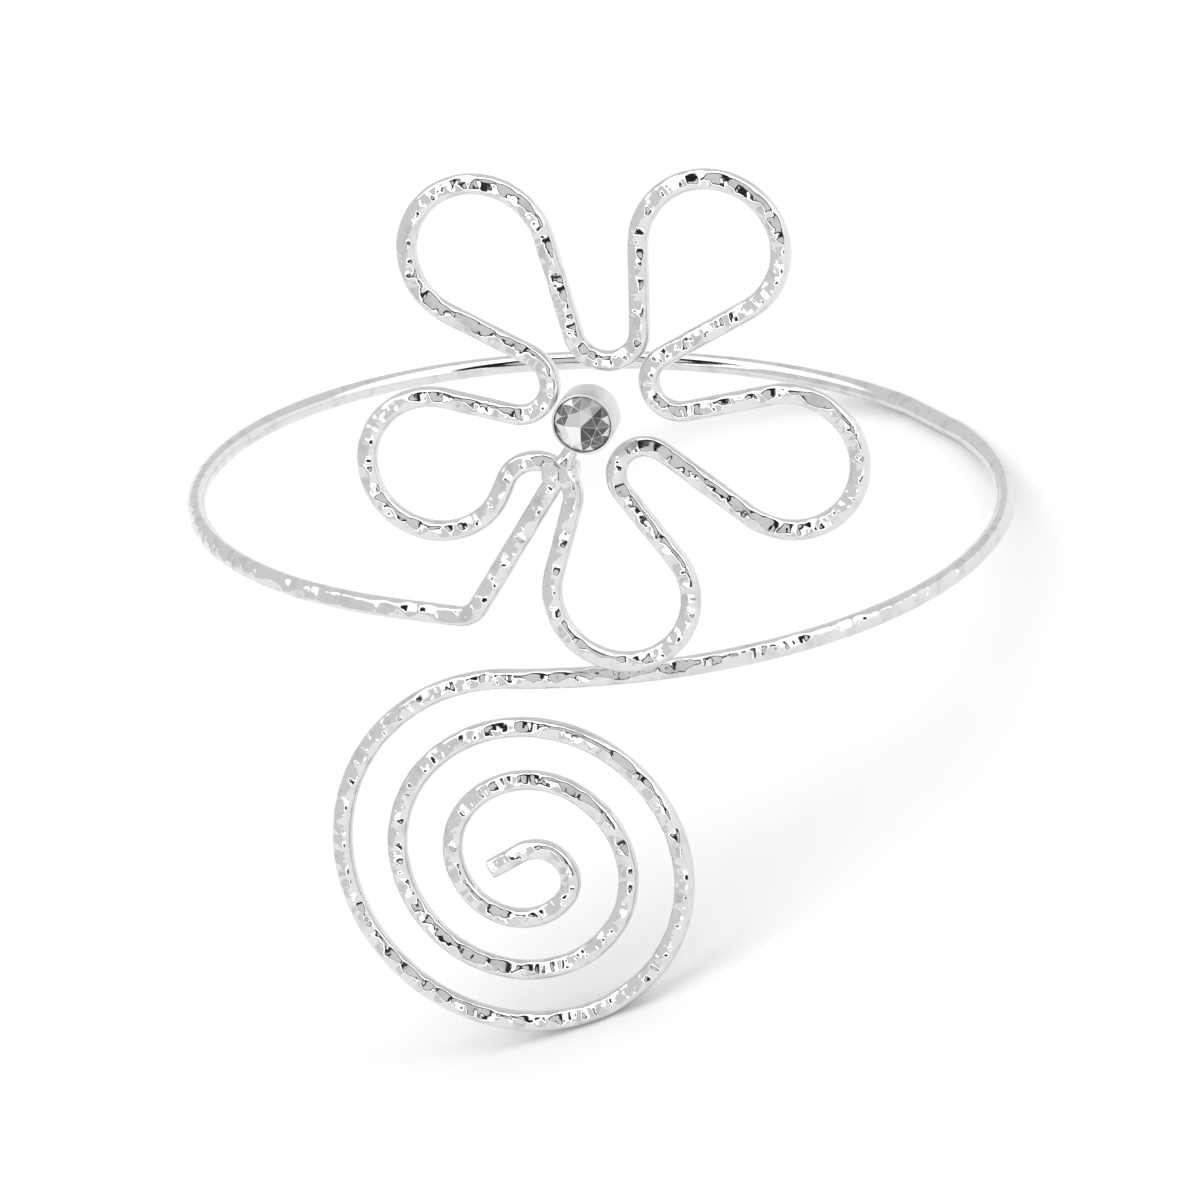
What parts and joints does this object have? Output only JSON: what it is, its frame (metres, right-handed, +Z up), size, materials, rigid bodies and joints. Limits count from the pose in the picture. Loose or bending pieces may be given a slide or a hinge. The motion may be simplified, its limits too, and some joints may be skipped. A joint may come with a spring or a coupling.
{
  "type": "upper arm cuff",
  "caption": "Open upper arm cuff bent from hammered round wire, with a flat spiral at one end and a wire flower set with a round stone at the other.",
  "frame": {"origin": "bottom centre of the box round the cuff as it rests on a flat surface", "axes": "+Z up from the surface, flower and spiral towards -Y, back of the arm band towards +Y"},
  "size_m": [0.0852, 0.0978, 0.082],
  "materials": {
    "metal": "silver tone, smooth round the arm and hammered on the flower, strut, front shoulders and spiral",
    "stone": "clear faceted stone with a bright back"
  },
  "bodies": {
    "root": {"cuff": "metal", "stone": "stone"}
  },
  "joints": []
}
